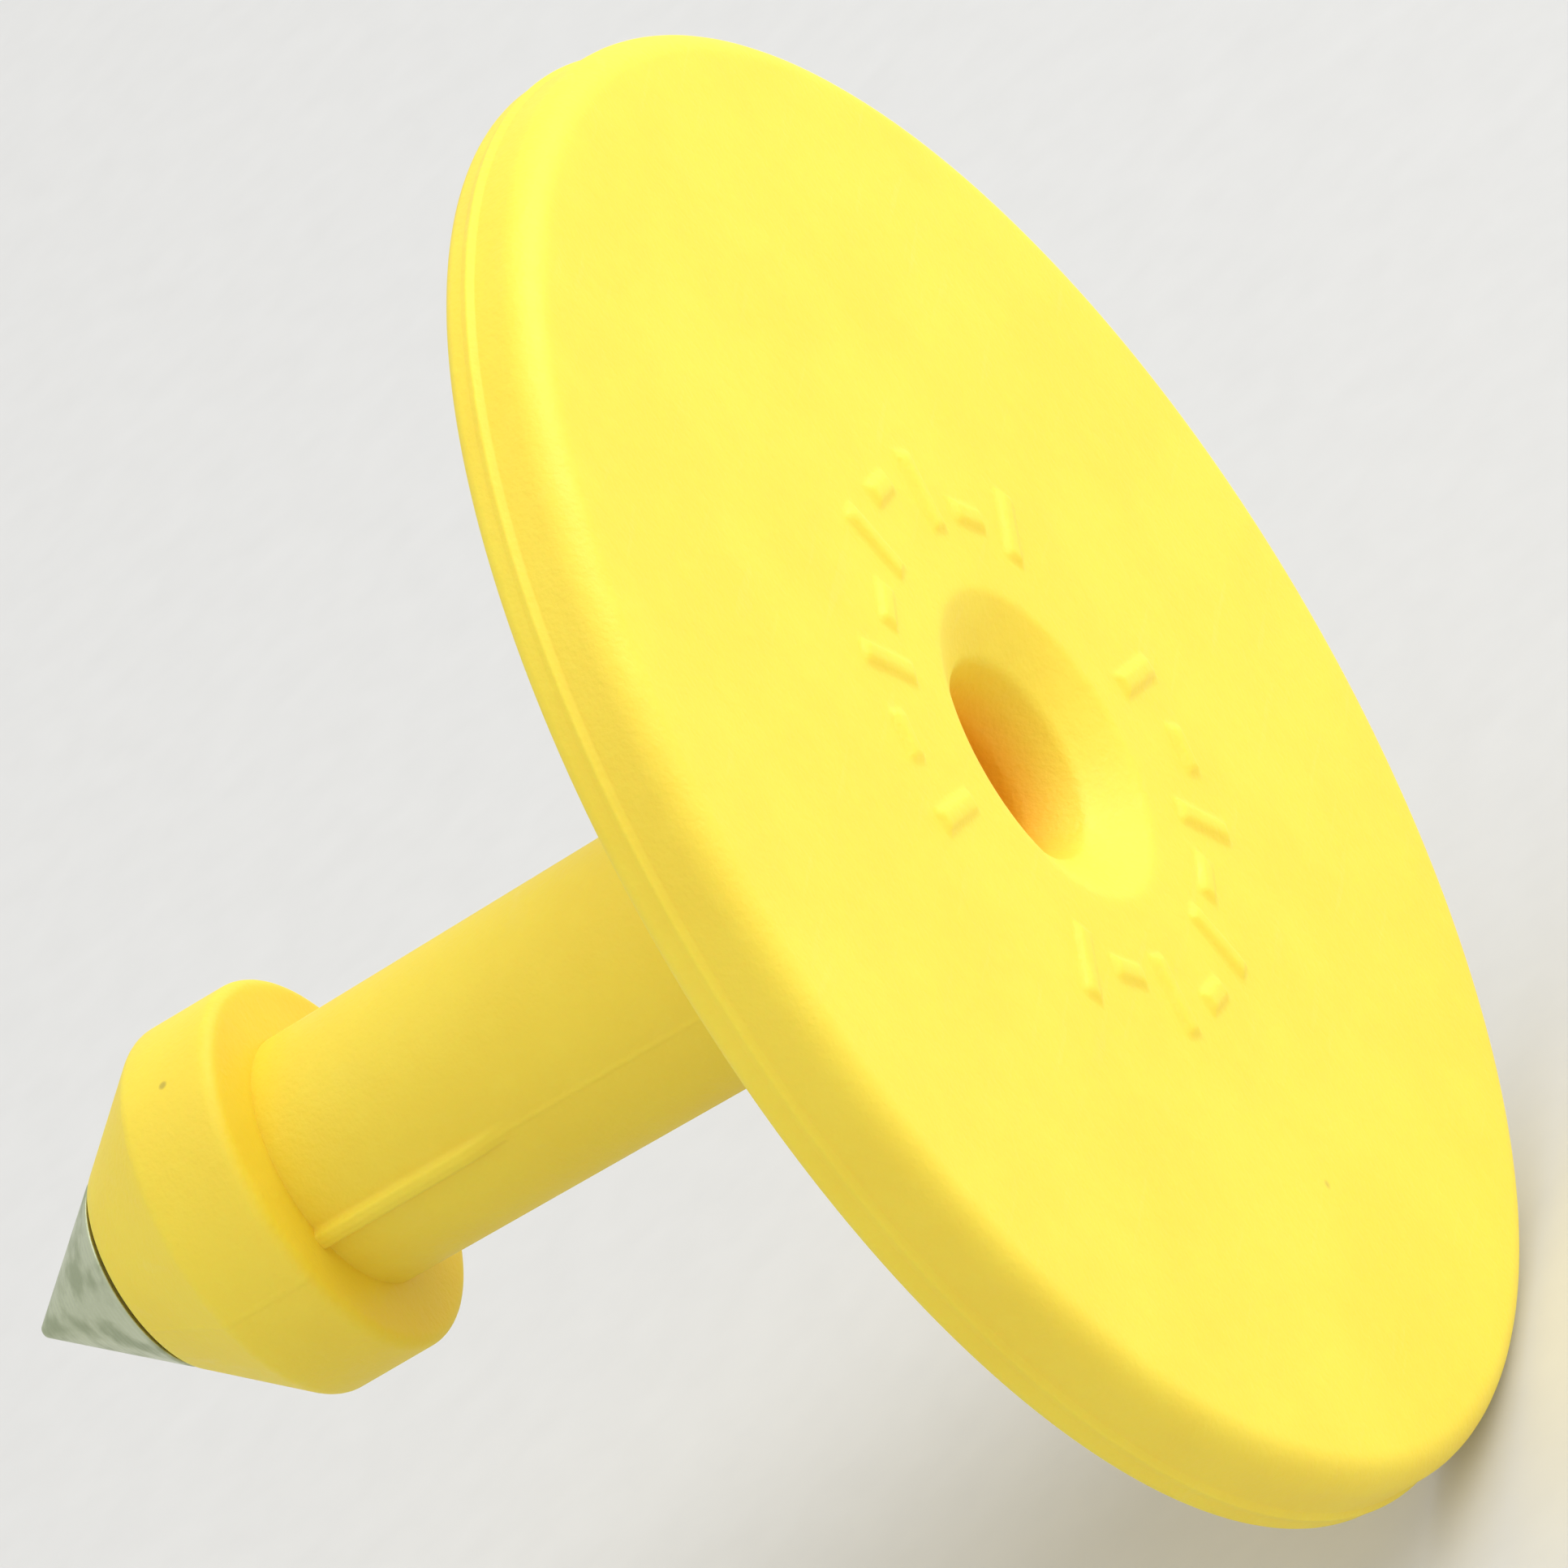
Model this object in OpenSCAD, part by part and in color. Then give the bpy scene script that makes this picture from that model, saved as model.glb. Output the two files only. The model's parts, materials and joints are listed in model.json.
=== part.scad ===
// Male button of a two-piece livestock ear tag: a round disc, a hollow
// stem and a barbed head moulded in one, with a hard piercing tip whose
// root is locked inside the head.
//
// The stud's axis lies along Y. The origin is on that axis, in the plane
// of the disc's back face, which rests on the ear. The front face looks
// to -Y, and the stem and the tip point to +Y.

/* [Disc] */
// Diameter of the disc
disc_d = 28.5; // [26:0.5:32]
// Thickness of the disc at its rim
rim_t = 1.85; // [1.6:0.05:2.2]
// How far the middle of the front face stands proud of its rim
crown_h = 0.1; // [0.05:0.05:0.4]
// Radius of the soft rounding on the front edge of the rim
front_edge_r = 0.6; // [0.3:0.05:0.8]
// Radius of the rounding on the back edge of the rim
back_edge_r = 0.3; // [0.15:0.05:0.4]

/* [Stem] */
// Diameter of the stem where it leaves the disc
stem_root_d = 5.2; // [5:0.1:6]
// Diameter of the stem where it meets the head
neck_d = 4.9; // [4.6:0.1:5.2]
// Free length of the stem, from the disc's back face to the head
neck_l = 13.7; // [11:0.1:16]
// Radius of the fillet between the disc and the stem
root_fillet_r = 0.4; // [0.2:0.05:0.6]

/* [Raised marks] */
// Height of the marks above the front face
mark_h = 0.1; // [0.05:0.05:0.15]
// Width of a mark's stroke
mark_w = 0.4; // [0.3:0.05:0.5]
// Length of a mark that points away from the hole
bar_l = 1.5; // [1:0.1:1.8]
// Length of a mark that follows the ring
dash_l = 0.9; // [0.6:0.1:1.1]
// Radius of the ring that the marks stand on
mark_ring_r = 4.9; // [4.6:0.1:5.4]
// Number of marks in each of the two arcs
marks_per_arc = 9; // [5:2:9]

/* [Needle hole] */
// Diameter of the hole that takes the applicator's needle
bore_d = 3.0; // [2.6:0.1:3.2]
// Diameter of the dimple around the mouth of the hole
dimple_d = 6.0; // [5.4:0.1:6.4]
// Depth of the dimple below the middle of the front face
dimple_h = 0.6; // [0.4:0.05:0.8]
// Diameter of the hole's mouth at the bottom of the dimple
mouth_d = 3.9; // [3.4:0.1:4.6]
// Plastic left between the end of the hole and the root of the tip
floor_t = 0.5; // [0.4:0.1:1]

/* [Head] */
// Diameter of the head over its short straight land
head_d = 7.3; // [6.8:0.1:8.2]
// Length of the head from its shoulder to the start of the cone
land_l = 1.95; // [1.6:0.05:2.6]
// Radius of the rounding on the edge of the shoulder
shoulder_r = 0.25; // [0.15:0.05:0.5]
// Length of the whole cone, tip included
cone_l = 4.85; // [4.4:0.05:5.6]

/* [Web] */
// Length of the thin web on each side of the stem, behind the head
web_l = 4.4; // [2:0.2:8]
// Length over which the web rises out of the stem
web_rise = 1.2; // [0.6:0.2:1.8]
// Height of the web above the neck
web_h = 0.2; // [0.15:0.05:0.5]
// Thickness of the web
web_t = 0.25; // [0.2:0.05:0.6]

/* [Tip] */
// Diameter of the tip where it leaves the plastic
tip_d = 4.0; // [3.4:0.1:4.2]
// Width of the fine groove between the plastic and the tip
groove_w = 0.14; // [0.1:0.02:0.2]
// Diameter of the collar at the bottom of the groove
collar_d = 3.0; // [2.6:0.1:3.1]
// Length of the collar, groove included
collar_l = 0.7; // [0.5:0.05:0.9]
// Diameter of the thin neck that the plastic locks around
tip_neck_d = 2.3; // [2:0.1:2.4]
// Diameter of the anchor flange at the root of the tip
anchor_d = 3.6; // [3:0.1:4]
// Thickness of the anchor flange
anchor_t = 0.9; // [0.7:0.1:1.1]
// Radius of the blunted point
point_r = 0.12; // [0.08:0.02:0.2]

/* [Hidden] */

$fn = 96;
stud_yellow = [0.96, 0.86, 0.28];
tip_grey = [0.62, 0.66, 0.56];

// Places along the axis, measured from the disc's back face
land_end_y = neck_l + land_l;
apex_y = land_end_y + cone_l;
cone_angle = atan(head_d / 2 / cone_l);
tip_base_y = apex_y - tip_d / 2 / tan(cone_angle);
plastic_end_y = tip_base_y - groove_w;
bore_end_y = neck_l;
anchor_y = bore_end_y + floor_t;
collar_y = tip_base_y - collar_l;

// The front face is a shallow dome: its height at the axis and at radius r
front_y = -(rim_t + crown_h);
function dome_y(r) = front_y + crown_h * pow(2 * r / disc_d, 2);

// Where the hole's mouth ends and its straight wall starts
mouth_y = front_y + dimple_h;
bore_start_y = -0.3;

// The marks' step round the ring, their flat tops, and their hidden roots;
// a dash is set in or out of the ring by its shift
mark_step = 17;
mark_top_y = dome_y(mark_ring_r) - mark_h;
mark_root_y = front_y + rim_t / 2;
dash_shift = 0.35;

// Steps in a rounded corner, and in the dome
corner_steps = 7;
dome_steps = 12;

// Points of an arc, from angle a0 to angle a1
function arc(x, y, r, a0, a1, steps) =
    [for (i = [0:steps]) let (a = a0 + (a1 - a0) * i / steps)
        [x + r * cos(a), y + r * sin(a)]];

// Radius of the head's cone at height y
function cone_r(y) = (apex_y - y) * tan(cone_angle);

// Turns a profile of [radius, height] points about the Y axis
module turned(points) {
    rotate([-90, 0, 0])
        rotate_extrude()
            polygon(points);
}

// Outline of the moulding: front face, rim, stem, shoulder, land and cone
function rim_corner(r) = disc_d / 2 - r;
dome_r = rim_corner(front_edge_r);
front_edge_y = dome_y(dome_r) + front_edge_r;
front_face = [for (i = [0:dome_steps - 1])
    let (r = dimple_d / 2 + (dome_r - dimple_d / 2) * i / dome_steps)
        [r, dome_y(r)]];
front_edge = arc(dome_r, front_edge_y, front_edge_r, -90, 0, corner_steps);
back_edge = arc(rim_corner(back_edge_r), -back_edge_r, back_edge_r, 0, 90, corner_steps);
root_fillet = arc(stem_root_d / 2 + root_fillet_r, root_fillet_r, root_fillet_r,
    270, 180, corner_steps);
shoulder_edge = arc(head_d / 2 - shoulder_r, neck_l + shoulder_r, shoulder_r,
    -90, 0, corner_steps);
outer_side = concat(front_face, front_edge, back_edge, root_fillet,
    [[neck_d / 2, neck_l]], shoulder_edge,
    [[head_d / 2, land_end_y], [cone_r(plastic_end_y), plastic_end_y]]);

// The pocket that the tip's root fills, and the needle hole
pocket_side = [
    [collar_d / 2, plastic_end_y],
    [collar_d / 2, collar_y],
    [tip_neck_d / 2, collar_y],
    [tip_neck_d / 2, anchor_y + anchor_t],
    [anchor_d / 2, anchor_y + anchor_t],
    [anchor_d / 2, anchor_y],
    [0, anchor_y]
];
hole_side = [
    [0, bore_end_y],
    [bore_d / 2, bore_end_y],
    [bore_d / 2, bore_start_y],
    [mouth_d / 2, mouth_y]
];

// One thin web on the side of the stem: it rises, then runs to the shoulder
module side_web() {
    web_start_y = neck_l - web_l;
    web_root_r = neck_d / 2 - web_t;
    web_top_r = neck_d / 2 + web_h;
    linear_extrude(height = web_t, center = true)
        polygon([
            [web_root_r, web_start_y],
            [neck_d / 2, web_start_y],
            [web_top_r, web_start_y + web_rise],
            [web_top_r, neck_l + shoulder_r],
            [web_root_r, neck_l + shoulder_r]
        ]);
}

// A block with its top on the front face's side, at height top_y
module mark_block(along, across, top_y) {
    translate([-across / 2, top_y, -along / 2])
        cube([across, mark_root_y - top_y, along]);
}

// Marks stand in two arcs, above and below the hole: bars that point
// away from the hole take turns with dashes set a little in or out
module face_marks() {
    arc_middle = (marks_per_arc - 1) / 2;
    for (turn = [0, 180], i = [0:marks_per_arc - 1])
        rotate([0, turn + mark_step * (i - arc_middle), 0])
            if (i % 2 == 0)
                translate([0, 0, mark_ring_r])
                    mark_block(bar_l, mark_w, mark_top_y);
            else
                translate([0, 0, mark_ring_r + dash_shift * (i % 4 - 2)])
                    mark_block(mark_w, dash_l, mark_top_y);
}

module stud_body() {
    color(stud_yellow) {
        turned(concat(outer_side, pocket_side, hole_side));
        face_marks();
        side_web();
        mirror([1, 0, 0]) side_web();
    }
}

// Centre of the small ball that blunts the point, and the arc on it
point_y = apex_y - point_r / sin(cone_angle);
point_ball = arc(0, point_y, point_r, cone_angle, 90, corner_steps);

module piercing_tip() {
    color(tip_grey)
        turned(concat(
            [
                [0, anchor_y],
                [anchor_d / 2, anchor_y],
                [anchor_d / 2, anchor_y + anchor_t],
                [tip_neck_d / 2, anchor_y + anchor_t],
                [tip_neck_d / 2, collar_y],
                [collar_d / 2, collar_y],
                [collar_d / 2, tip_base_y],
                [tip_d / 2, tip_base_y]
            ],
            point_ball
        ));
}

stud_body();
piercing_tip();
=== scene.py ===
# The male button of a two-piece livestock ear tag: a yellow polyurethane stud
# with a hard grey piercing tip moulded into its head. Its axis lies along Y,
# with the disc's back face at Y = 0, the front face to -Y and the tip to +Y.
import json
import math

import bpy
import numpy as np
from mathutils import Matrix, Vector


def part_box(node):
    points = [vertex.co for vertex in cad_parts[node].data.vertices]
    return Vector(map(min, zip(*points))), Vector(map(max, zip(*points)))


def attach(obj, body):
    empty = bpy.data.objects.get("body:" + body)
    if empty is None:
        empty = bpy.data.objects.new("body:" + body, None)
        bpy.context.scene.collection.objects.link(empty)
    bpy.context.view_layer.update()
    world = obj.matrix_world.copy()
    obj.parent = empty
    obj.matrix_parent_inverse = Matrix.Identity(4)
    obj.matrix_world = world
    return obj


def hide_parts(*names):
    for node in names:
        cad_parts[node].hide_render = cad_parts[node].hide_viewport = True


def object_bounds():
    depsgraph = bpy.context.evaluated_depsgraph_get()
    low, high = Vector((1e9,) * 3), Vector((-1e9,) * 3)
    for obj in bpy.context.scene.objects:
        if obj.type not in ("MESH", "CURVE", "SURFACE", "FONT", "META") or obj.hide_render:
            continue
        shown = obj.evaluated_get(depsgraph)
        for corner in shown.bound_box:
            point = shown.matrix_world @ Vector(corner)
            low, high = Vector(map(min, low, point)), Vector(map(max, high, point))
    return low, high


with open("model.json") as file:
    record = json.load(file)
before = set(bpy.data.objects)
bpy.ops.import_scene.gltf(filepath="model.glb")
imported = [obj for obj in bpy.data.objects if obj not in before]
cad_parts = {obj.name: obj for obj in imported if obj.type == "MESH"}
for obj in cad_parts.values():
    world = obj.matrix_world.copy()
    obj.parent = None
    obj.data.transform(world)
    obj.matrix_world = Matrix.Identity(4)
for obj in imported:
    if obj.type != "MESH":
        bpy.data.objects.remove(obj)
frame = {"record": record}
cad_low, cad_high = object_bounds()


# ---- Stud -----------------------------------------------------------------
# The disc, the hollow stem and the barbed head are one shot of yellow
# polyurethane. Two side cores form the stem and the head, so a fine flash line
# and a thin web run down each side; the disc's plate leaves a lip on the rim.

MM = 0.001

stud_low, stud_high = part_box("stud_body")
disc_r = stud_high.z
rim_t = 1.85 * MM
crown_h = 0.1 * MM
front_edge_r = 0.6 * MM
back_edge_r = 0.25 * MM
lip_y = -0.57 * MM
lip_w = 0.26 * MM
lip_h = 0.09 * MM
lip_root_r = 0.05 * MM
lip_top_r = 0.06 * MM
lip_back_r = disc_r - lip_h / 2
rim_r = disc_r - lip_h

needle_r = next(m for m in frame["record"]["mounts"]
                if m["name"] == "needle_bore")["dims"]["r_mm"] * MM
needle_start_y = -0.3 * MM
needle_start_edge_r = 0.6 * MM
needle_floor_edge_r = 0.1 * MM
mouth_r = 1.95 * MM
mouth_y = -1.25 * MM
mouth_edge_r = 0.45 * MM
dimple_r = 3.0 * MM
dimple_lip_r = 0.45 * MM

stem_root_r = 2.6 * MM
neck_r = 2.45 * MM
neck_l = 13.7 * MM
root_fillet_r = 0.4 * MM

head_r = 3.65 * MM
land_l = 1.95 * MM
land_end_y = neck_l + land_l
land_edge_r = 0.35 * MM
shoulder_edge_r = 0.25 * MM
cone_l = 4.85 * MM
cone_slope = head_r / cone_l
plastic_end_y = stud_high.y
plastic_end_r = head_r - (plastic_end_y - land_end_y) * cone_slope
plastic_end_edge_r = 0.06 * MM

# The pocket that the tip's root fills
floor_t = 0.5 * MM
anchor_r = 1.8 * MM
anchor_t = 0.9 * MM
tip_neck_r = 1.15 * MM
collar_r = 1.5 * MM
collar_l = 0.7 * MM
groove_w = 0.14 * MM
collar_y = plastic_end_y + groove_w - collar_l
anchor_y = neck_l + floor_t


def outline(corners):
    """Rings of (radius, height) through corners of (radius, height, rounding,
    steps to the next corner). A rounding of 0 keeps the corner sharp."""
    bend_step = math.radians(11)
    at = [Vector(corner[:2]) for corner in corners]
    bends = []
    for i, (_, _, rounding, _) in enumerate(corners):
        if rounding == 0:
            bends.append([at[i]])
            continue
        back = (at[i - 1] - at[i]).normalized()
        onward = (at[i + 1] - at[i]).normalized()
        half = back.angle(onward) / 2
        middle = at[i] + (back + onward).normalized() * rounding / math.sin(half)
        spoke = at[i] + back * rounding / math.tan(half) - middle
        sweep = math.copysign(math.pi - 2 * half, onward.cross(back))
        steps = max(2, math.ceil(abs(sweep) / bend_step))
        bends.append([middle + Matrix.Rotation(sweep * k / steps, 2) @ spoke
                      for k in range(steps + 1)])
    rings = []
    for corner, bend, following in zip(corners, bends, bends[1:]):
        run = [bend[-1].lerp(following[0], k / corner[3]) for k in range(corner[3])]
        rings += bend[:-1] + run
    return rings + [at[-1]]


def turned(name, rings, sides, shape=None):
    """A closed mesh turned about Y. Its first and last rings lie on the axis.
    shape() may move the points, given as radius, height and angle."""
    sharp_angle = math.radians(50)
    radius, height = np.array(rings[1:-1])[:, :, None].transpose(1, 0, 2)
    angle = np.linspace(0, 2 * math.pi, sides, endpoint=False)[None, :]
    radius, height, angle = np.broadcast_arrays(radius, height, angle)
    if shape:
        radius, height = shape(radius, height, angle)
    points = np.stack([radius * np.cos(angle), height, radius * np.sin(angle)], -1)
    first, last = 0, radius.size + 1
    verts = [(0, rings[0][1], 0), *points.reshape(-1, 3), (0, rings[-1][1], 0)]
    faces = []
    for j in range(sides):
        k = (j + 1) % sides
        faces.append((first, 1 + j, 1 + k))
        for start in range(1, last - sides, sides):
            faces.append((start + j, start + sides + j, start + sides + k, start + k))
        faces.append((last - sides + j, last, last - sides + k))
    mesh = bpy.data.meshes.new(name)
    mesh.from_pydata(verts, [], faces)
    mesh.shade_smooth()
    mesh.set_sharp_from_angle(angle=sharp_angle)
    piece = bpy.data.objects.new(name, mesh)
    bpy.context.scene.collection.objects.link(piece)
    return piece


def ramp(value, low, high):
    """0 below low, 1 above high, and smooth between; high may be the lower."""
    t = np.clip((value - low) / (high - low), 0, 1)
    return t * t * (3 - 2 * t)


# Raised marks in two arcs round the hole: bars that point away from it take
# turns with dashes that follow the ring. They say nothing.
mark_top_y = stud_low.y
mark_w = 0.4 * MM
bar_l = 1.5 * MM
dash_l = 0.9 * MM
mark_ring_r = 4.9 * MM
dash_shift = 0.35 * MM
marks_per_arc = 9
mark_step = math.radians(17)
mark_edge = 0.2 * MM
marks_start_r = 4.0 * MM
marks_end_r = 5.8 * MM


def mark_cover(radius, angle):
    """1 on a raised mark, 0 off it, with softened edges."""
    cover = np.zeros(radius.shape)
    for arc_middle in (math.pi / 2, -math.pi / 2):
        for i in range(marks_per_arc):
            turn = angle - arc_middle - mark_step * (i - marks_per_arc // 2)
            along = radius * np.cos(turn) - mark_ring_r
            across = radius * np.sin(turn)
            if i % 2 == 0:
                half_along, half_across = bar_l / 2, mark_w / 2
            else:
                along = along - dash_shift * (i % 4 - 2)
                half_along, half_across = mark_w / 2, dash_l / 2
            outside = np.maximum(abs(along) - half_along, abs(across) - half_across)
            cover = np.maximum(cover, ramp(outside, mark_edge / 2, -mark_edge / 2))
    return cover


# The ejector pins leave three shallow round marks on the disc's back
pin_ring_r = 9.0 * MM
pin_r = 1.3 * MM
pin_mark_depth = 0.05 * MM
pin_mark_edge = 0.12 * MM
pins = 3
pin_step = 2 * math.pi / pins


def pin_cover(radius, angle):
    """1 on an ejector pin's mark, 0 off it."""
    cover = np.zeros(radius.shape)
    for i in range(pins):
        turn = angle - math.pi / 2 - pin_step * i
        away = np.hypot(radius * np.cos(turn) - pin_ring_r, radius * np.sin(turn))
        past_rim = away - pin_r
        cover = np.maximum(cover, ramp(past_rim, pin_mark_edge / 2, -pin_mark_edge / 2))
    return cover


# The web on each side rises out of the stem and runs to the shoulder. The flash
# line runs from the root fillet nearly to the end of the plastic.
web_l = 4.4 * MM
web_rise = 1.2 * MM
web_h = 0.2 * MM
web_t = 0.25 * MM
web_edge = 0.08 * MM
web_start_y = neck_l - web_l
web_start_r = neck_r + (stem_root_r - neck_r) * web_l / neck_l
flash_w = 0.14 * MM
flash_h = 0.02 * MM
flash_end_y = plastic_end_y - groove_w
hair = 0.001 * MM
shoulder_flat_r = head_r - shoulder_edge_r
pocket_clear_r = 0.99 * plastic_end_r


def moulded(radius, height, angle):
    """Dome, marks, webs and flash lines on the plain turned stud."""
    front = ramp(height, needle_start_y, mouth_y)
    dome = height - front * crown_h * (1 - (radius / disc_r) ** 2)
    on_face = (height < mouth_y) & (radius > dimple_r)
    dome = dome + np.where(on_face, mark_cover(radius, angle), 0) * (mark_top_y - dome)
    on_back = (abs(height) < hair) & (radius > stem_root_r)
    dome = dome - np.where(on_back, pin_cover(radius, angle), 0) * pin_mark_depth

    off_seam = radius * abs(np.sin(angle))
    outside = (height > root_fillet_r) & (radius > pocket_clear_r)
    on_stem = outside & (height < neck_l - hair)
    on_shoulder = outside & (abs(height - neck_l) < hair) & (radius < shoulder_flat_r)
    web_r = neck_r + web_h * np.clip((height - neck_l + web_l) / web_rise, 0, 1)
    spread = (shoulder_flat_r - web_r) / (shoulder_flat_r - neck_r)
    webbed = np.where(on_stem, np.maximum(radius, web_r), radius)
    webbed = np.where(on_shoulder, web_r + (radius - neck_r) * spread, webbed)
    web = ramp(off_seam, web_t / 2 + web_edge, web_t / 2)
    flash = ramp(off_seam, flash_w / 2, 0) * (outside & (height < flash_end_y))
    return radius + web * (webbed - radius) + flash * flash_h, dome


stud = turned("stud_moulding", outline([
    (0, neck_l, 0, 3),
    (needle_r, neck_l, needle_floor_edge_r, 12),
    (needle_r, needle_start_y, needle_start_edge_r, 2),
    (mouth_r, mouth_y, mouth_edge_r, 2),
    (dimple_r, -rim_t, dimple_lip_r, 3),
    (marks_start_r, -rim_t, 0, 27),
    (marks_end_r, -rim_t, 0, 12),
    (rim_r, -rim_t, front_edge_r, 1),
    (rim_r, lip_y - lip_w / 2, lip_root_r, 1),
    (disc_r, lip_y, lip_top_r, 1),
    (lip_back_r, lip_y + lip_w / 2, lip_root_r, 1),
    (lip_back_r, 0, back_edge_r, 3),
    (pin_ring_r + pin_r + pin_mark_edge, 0, 0, 22),
    (pin_ring_r - pin_r - pin_mark_edge, 0, 0, 4),
    (stem_root_r, 0, root_fillet_r, 6),
    (web_start_r, web_start_y, 0, 20),
    (neck_r, neck_l, 0, 8),
    (head_r, neck_l, shoulder_edge_r, 6),
    (head_r, land_end_y, land_edge_r, 8),
    (plastic_end_r, plastic_end_y, plastic_end_edge_r, 2),
    (collar_r, plastic_end_y, 0, 3),
    (collar_r, collar_y, 0, 2),
    (tip_neck_r, collar_y, 0, 4),
    (tip_neck_r, anchor_y + anchor_t, 0, 2),
    (anchor_r, anchor_y + anchor_t, 0, 2),
    (anchor_r, anchor_y, 0, 3),
    (0, anchor_y, 0, 0),
]), sides=416, shape=moulded)


class Value:
    """A shader socket that is worked with as a number; each sum adds a node."""

    def __init__(self, finish, socket):
        self.finish = finish
        self.socket = socket

    def math(self, operation, *terms):
        return self.finish.node("Math", {"operation": operation}, dict(enumerate(terms)))

    def __add__(self, other):
        return self.math("ADD", self, other)

    def __radd__(self, other):
        return self.math("ADD", other, self)

    def __sub__(self, other):
        return self.math("SUBTRACT", self, other)

    def __rsub__(self, other):
        return self.math("SUBTRACT", other, self)

    def __mul__(self, other):
        return self.math("MULTIPLY", self, other)

    def __rmul__(self, other):
        return self.math("MULTIPLY", other, self)

    def sine(self):
        return self.math("SINE", self)


class Finish:
    """A node material. Every node of it comes from node()."""

    def __init__(self, name):
        self.material = bpy.data.materials.new(name)
        self.material.use_nodes = True
        self.material.node_tree.nodes.clear()

    def node(self, kind, settings, sockets, output=0):
        tree = self.material.node_tree
        made = tree.nodes.new("ShaderNode" + kind)
        for name, setting in settings.items():
            setattr(made, name, setting)
        for name, value in sockets.items():
            if isinstance(value, Value):
                tree.links.new(value.socket, made.inputs[name])
            else:
                made.inputs[name].default_value = value
        return Value(self, made.outputs[output]) if made.outputs else None

    def place(self):
        """Where a point of the piece is, in metres."""
        return self.node("TexCoord", {}, {}, "Object")

    def noise(self, where, size, detail=3.0, stretch=(1, 1, 1)):
        """Noise from 0 to 1 whose blotches are about size across."""
        scaled = self.node("VectorMath", {"operation": "MULTIPLY"}, {0: where, 1: stretch})
        return self.node("TexNoise", {}, {"Vector": scaled, "Scale": 1 / size, "Detail": detail})

    def step(self, value, low, high):
        """0 below low, 1 above high, and smooth between."""
        return self.node("MapRange", {"interpolation_type": "SMOOTHSTEP"},
                         {"Value": value, "From Min": low, "From Max": high})

    def tint(self, share, start, end):
        """The colour start where share is 0 and end where it is 1."""
        first, second = ((*colour, 1) if isinstance(colour, tuple) else colour
                         for colour in (start, end))
        return self.node("Mix", {"data_type": "RGBA"}, {"Factor": share, 6: first, 7: second}, 2)

    def spot(self, where, centre, size):
        """1 within size of a point, falling to 0 at twice that."""
        gap = self.node("VectorMath", {"operation": "DISTANCE"}, {0: where, 1: centre}, 1)
        return 1 - self.step(gap, size, 2 * size)

    def relief(self, height, depth, under=None):
        """A bump as deep as depth, on top of the bump given as under."""
        sockets = {"Height": height, "Distance": depth, "Strength": 1.0}
        if under:
            sockets["Normal"] = under
        return self.node("Bump", {}, sockets)

    def surface(self, sockets):
        """The finished material, with these sockets of its shader set."""
        shader = self.node("BsdfPrincipled", {}, sockets)
        self.node("OutputMaterial", {}, {"Surface": shader})
        return self.material


def stud_polyurethane():
    """Yellow polyurethane, slightly see-through, with a spark-eroded skin."""
    lit_yellow = (0.93, 0.725, 0.05)
    plain_yellow = (0.91, 0.695, 0.044)
    pale_yellow = (0.95, 0.765, 0.075)
    # The deeper orange below is painted shade and bounced light for inside the needle hole
    hole_painted_shade_orange = (0.93, 0.45, 0.015)
    grit_brown = (0.3, 0.22, 0.04)
    mottle_share, hole_painted_shade_share, grit_share = 0.2, 0.82, 0.55
    cloud_depth, mottle_depth, grain_depth = 0.05 * MM, 0.018 * MM, 0.012 * MM

    finish = Finish("stud_polyurethane")
    place = finish.place()
    cloud = finish.noise(place, 3.5 * MM)
    mottle = finish.noise(place, 0.5 * MM)
    grain = finish.noise(place, 0.11 * MM, detail=2.0)
    scuffs = finish.step(finish.noise(place, 0.9 * MM, stretch=(0.25, 1, 2.5)), 0.6, 0.72)

    colour = finish.tint(finish.step(cloud, 0.35, 0.65), lit_yellow, plain_yellow)
    colour = finish.tint(finish.step(mottle, 0.45, 0.75) * mottle_share, colour, pale_yellow)

    # Inside the needle hole the colour is painted a deeper orange: painted shade, and painted
    # light that has come through the plastic and bounced round the hole
    across = finish.node("VectorMath", {"operation": "MULTIPLY"}, {0: place, 1: (1, 0, 1)})
    from_axis = finish.node("VectorMath", {"operation": "LENGTH"}, {0: across}, 1)
    height = finish.node("SeparateXYZ", {}, {"Vector": place}, "Y")
    painted_hole_shade = (1 - finish.step(from_axis, needle_r, mouth_r)) * finish.step(height, -rim_t, 0.0)
    colour = finish.tint(painted_hole_shade * hole_painted_shade_share, colour, hole_painted_shade_orange)

    # Two specks of grit, one low on the face and one on top of the head
    face_speck = (-2.98 * MM, stud_low.y, -8.53 * MM)
    head_speck = (-1.17 * MM, neck_l + 1.02 * MM, 3.51 * MM)
    grit = (finish.spot(place, face_speck, 0.09 * MM)
            + finish.spot(place, head_speck, 0.06 * MM))
    colour = finish.tint(grit * grit_share, colour, grit_brown)

    skin = finish.relief(cloud, cloud_depth)
    skin = finish.relief(mottle, mottle_depth, skin)
    skin = finish.relief(grain, grain_depth, skin)
    return finish.surface({
        "Base Color": colour,
        "Roughness": 0.5 + mottle * 0.16 - scuffs * 0.1,
        "Normal": skin,
        "IOR": 1.5,
        "Specular IOR Level": 0.6,
        "Subsurface Weight": 0.35,
        "Subsurface Radius": (1.0, 0.6, 0.1),
        "Subsurface Scale": 0.8 * MM,
    })


stud.data.materials.append(stud_polyurethane())
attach(stud, "root")
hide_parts("stud_body")


# ---- Piercing tip ---------------------------------------------------------
# The point is a small turned insert in dull grey metal. It is put in the mould
# before the plastic: the plastic locks round its neck, and a knurled flange at
# its root keeps it from turning. Only the cone shows, past a fine groove.

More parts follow.
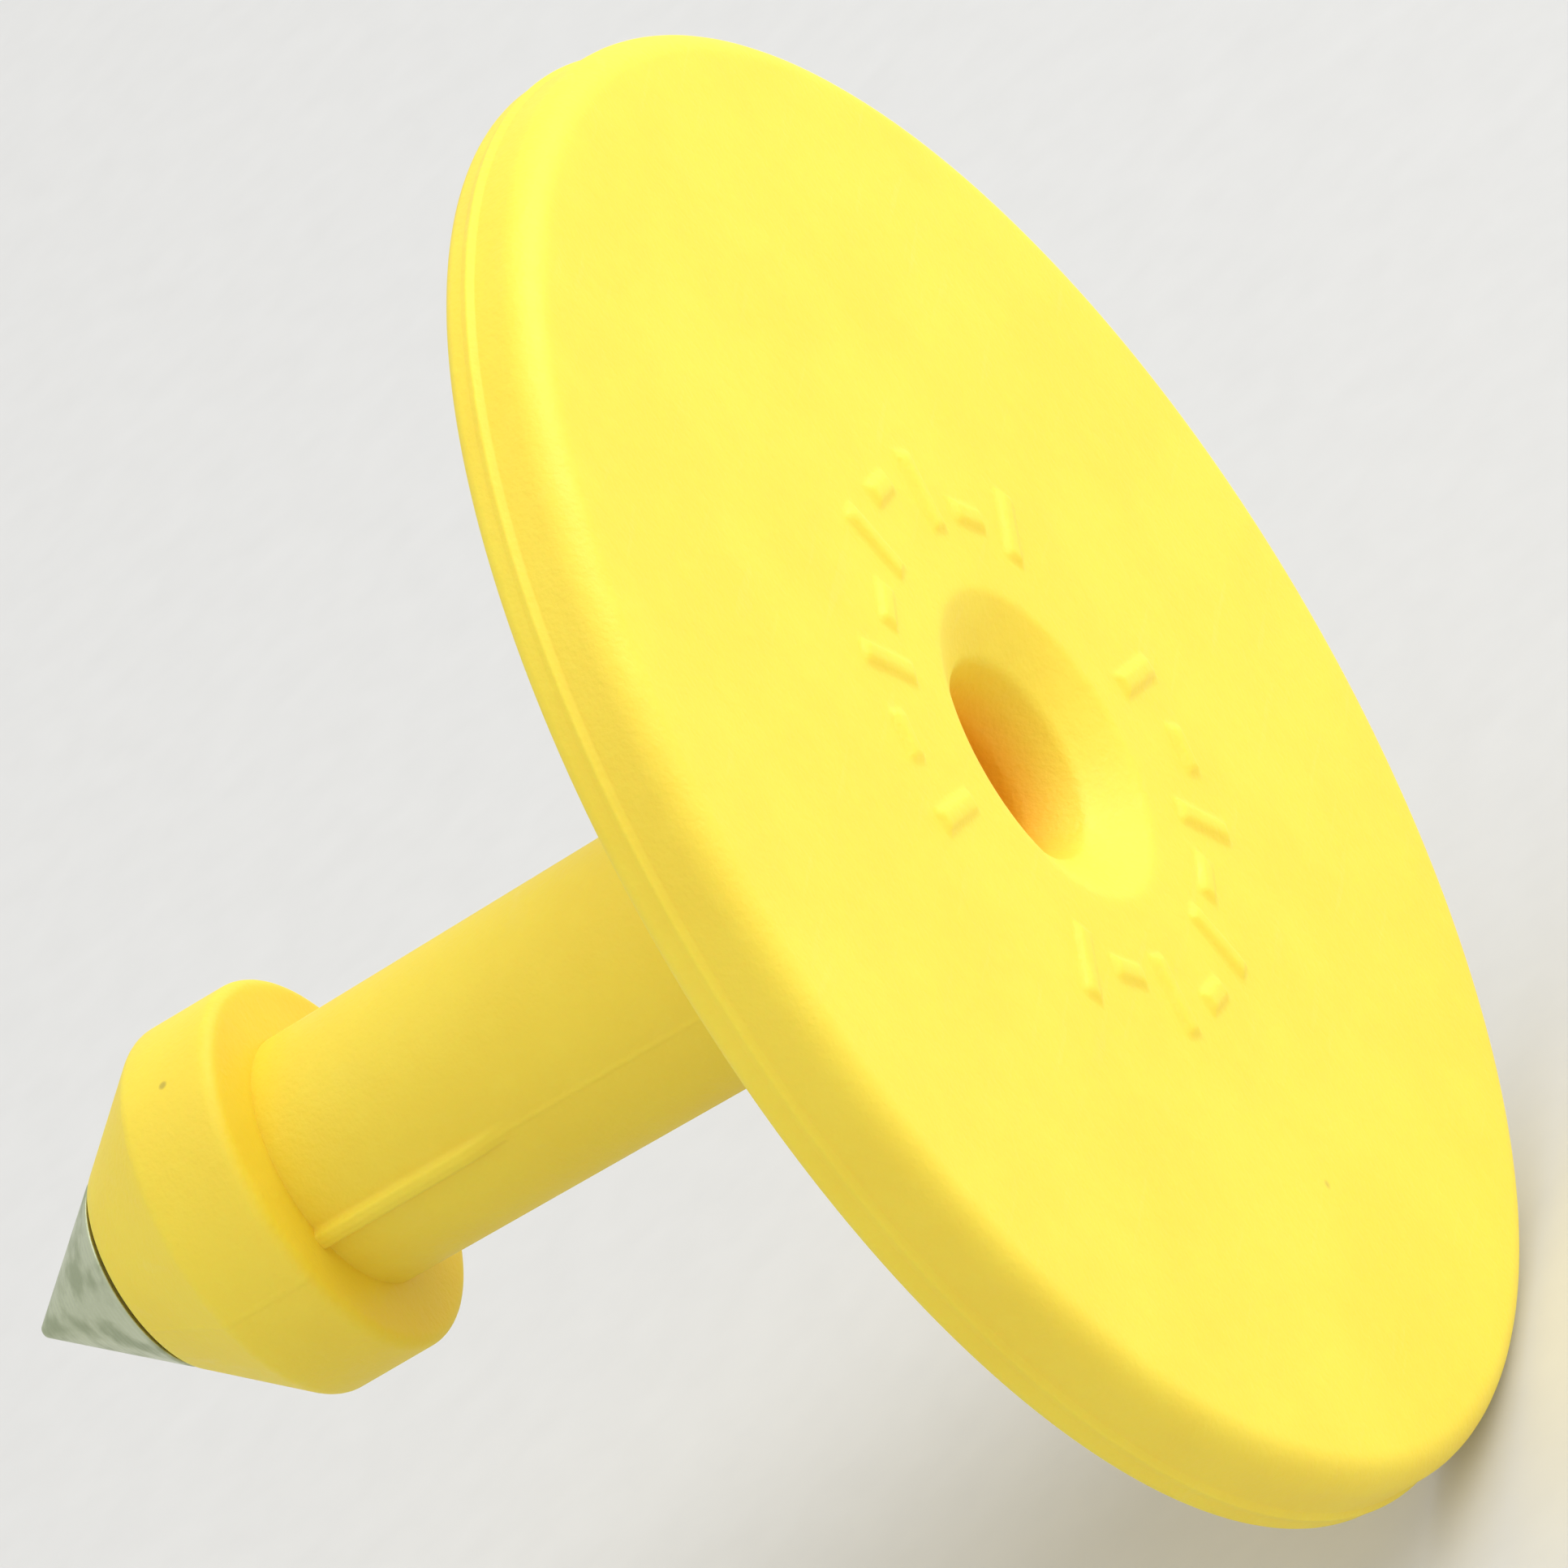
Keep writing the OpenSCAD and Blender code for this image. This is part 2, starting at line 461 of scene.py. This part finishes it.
tip_end_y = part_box("piercing_tip")[1].y
tip_base_y = plastic_end_y + groove_w
tip_base_r = 2.0 * MM
tip_base_edge_r = 0.04 * MM
point_r = 0.12 * MM
point_flat_r = point_r * 0.8
knurl_depth = 0.06 * MM
knurl_teeth = 24


def knurled(radius, height, angle):
    """Straight knurling on the anchor flange's rim, cut in and never proud."""
    rim = (radius > anchor_r - hair) & (height < collar_y)
    return radius - rim * knurl_depth * (0.5 + 0.5 * np.cos(knurl_teeth * angle)), height


tip = turned("point_insert", outline([
    (0, anchor_y, 0, 3),
    (anchor_r, anchor_y, 0, 3),
    (anchor_r, anchor_y + anchor_t, 0, 2),
    (tip_neck_r, anchor_y + anchor_t, 0, 4),
    (tip_neck_r, collar_y, 0, 2),
    (collar_r, collar_y, 0, 4),
    (collar_r, tip_base_y, 0, 2),
    (tip_base_r, tip_base_y, tip_base_edge_r, 16),
    (point_flat_r, tip_end_y, point_r, 2),
    (0, tip_end_y, 0, 0),
]), sides=192, shape=knurled)


def tip_metal():
    """Dull zinc with fine turning rings and a few duller patches."""
    bright_zinc = (0.57, 0.62, 0.43)
    dull_zinc = (0.4, 0.45, 0.29)
    turning_pitch = 0.11 * MM
    turning_depth, grain_depth = 0.003 * MM, 0.006 * MM

    finish = Finish("tip_metal")
    place = finish.place()
    patches = finish.noise(place, 0.7 * MM)
    grain = finish.noise(place, 0.06 * MM, detail=2.0)
    height = finish.node("SeparateXYZ", {}, {"Vector": place}, "Y")
    rings = (height * (2 * math.pi / turning_pitch) + patches * 2.0).sine()
    dull = finish.step(patches, 0.4, 0.68)
    colour = finish.tint(dull, bright_zinc, dull_zinc)
    skin = finish.relief(rings, turning_depth)
    skin = finish.relief(grain, grain_depth, skin)
    return finish.surface({
        "Base Color": colour,
        "Metallic": 0.9,
        "Roughness": 0.34 + dull * 0.16,
        "Normal": skin,
    })


tip.data.materials.append(tip_metal())
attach(tip, "root")
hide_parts("piercing_tip")


# ---- Floor ----------------------------------------------------------------
# A plain sheet of pale paper, big enough that no edge shows. It lies level, and
# the disc stands on it with its rim just touching.

floor_half = 3.0
floor_z = cad_low.z
floor_corners = [(-floor_half, -floor_half, floor_z), (floor_half, -floor_half, floor_z),
                 (floor_half, floor_half, floor_z), (-floor_half, floor_half, floor_z)]
floor_mesh = bpy.data.meshes.new("studio_floor")
floor_mesh.from_pydata(floor_corners, [], [(0, 1, 2, 3)])
floor = bpy.data.objects.new("studio_floor", floor_mesh)
bpy.context.scene.collection.objects.link(floor)


def pale_paper():
    """Matt paper with a faint fibre."""
    paper_grey, fibre_grey = (0.61, 0.61, 0.6), (0.65, 0.65, 0.64)
    finish = Finish("pale_paper")
    fibre = finish.noise(finish.place(), 1.2 * MM)
    return finish.surface({
        "Base Color": finish.tint(fibre, paper_grey, fibre_grey),
        "Roughness": 0.8 + fibre * 0.1,
    })


floor_mesh.materials.append(pale_paper())


# ---- Light ----------------------------------------------------------------
# An even pale room does most of the lighting. A large soft box in front of the
# disc's face, above it and to its +X side, is the key, and a weaker one hangs
# overhead. Both look back at the stud.

box_distance = 0.5
box_size = 0.4
room_strength = 0.77


def soft_box(name, direction, watts, colour):
    """A square area light that looks back at the stud."""
    lamp = bpy.data.lights.new(name, "AREA")
    lamp.size = box_size
    lamp.energy = watts
    lamp.color = colour
    holder = bpy.data.objects.new(name, lamp)
    toward = Vector(direction).normalized()
    holder.location = toward * box_distance
    holder.rotation_euler = toward.to_track_quat("Z", "Y").to_euler()
    bpy.context.scene.collection.objects.link(holder)


soft_box("key_box", (0.45, -0.7, 0.55), 1.85, (1.0, 0.99, 0.97))
soft_box("top_box", (-0.2, -0.1, 1.0), 0.5, (1.0, 1.0, 1.0))

scene = bpy.context.scene
scene.view_settings.view_transform = "Standard"
room = bpy.data.worlds.new("studio_room")
room.use_nodes = True
walls = room.node_tree.nodes["Background"]
walls.inputs["Color"].default_value = (1.0, 1.0, 1.0, 1)
walls.inputs["Strength"].default_value = room_strength
scene.world = room


# ---- Camera ---------------------------------------------------------------
# A long lens looks at the disc's front from the -X side and from above, and is
# turned about its own axis, so the stud's tip lies low left. The distance and the
# aim are in radii of the disc, and radius_share is that radius over the view's width.

view_azimuth = math.radians(-64.25)
view_elevation = math.radians(22.06)
view_roll = math.radians(-40.89)
distance_in_radii = 20.0
radius_share = 0.5294
aim_right = -0.312
aim_up = -0.047
sensor_mm = 36.0
clip_start = 0.01

back = Vector((math.sin(view_azimuth) * math.cos(view_elevation),
               -math.cos(view_azimuth) * math.cos(view_elevation),
               math.sin(view_elevation)))
level_right = Vector((math.cos(view_azimuth), math.sin(view_azimuth), 0))
level_up = back.cross(level_right)
right = level_right * math.cos(view_roll) + level_up * math.sin(view_roll)
up = back.cross(right)
aim = Vector((0, -rim_t, 0)) + (right * aim_right + up * aim_up) * disc_r

lens = bpy.data.cameras.new("studio_camera")
lens.sensor_width = sensor_mm
lens.lens = sensor_mm * radius_share * distance_in_radii
lens.clip_start = clip_start
camera = bpy.data.objects.new("studio_camera", lens)
turned_to_view = Matrix((right, up, back)).transposed().to_4x4()
camera.matrix_world = Matrix.Translation(aim + back * distance_in_radii * disc_r) @ turned_to_view
scene.collection.objects.link(camera)
scene.camera = camera
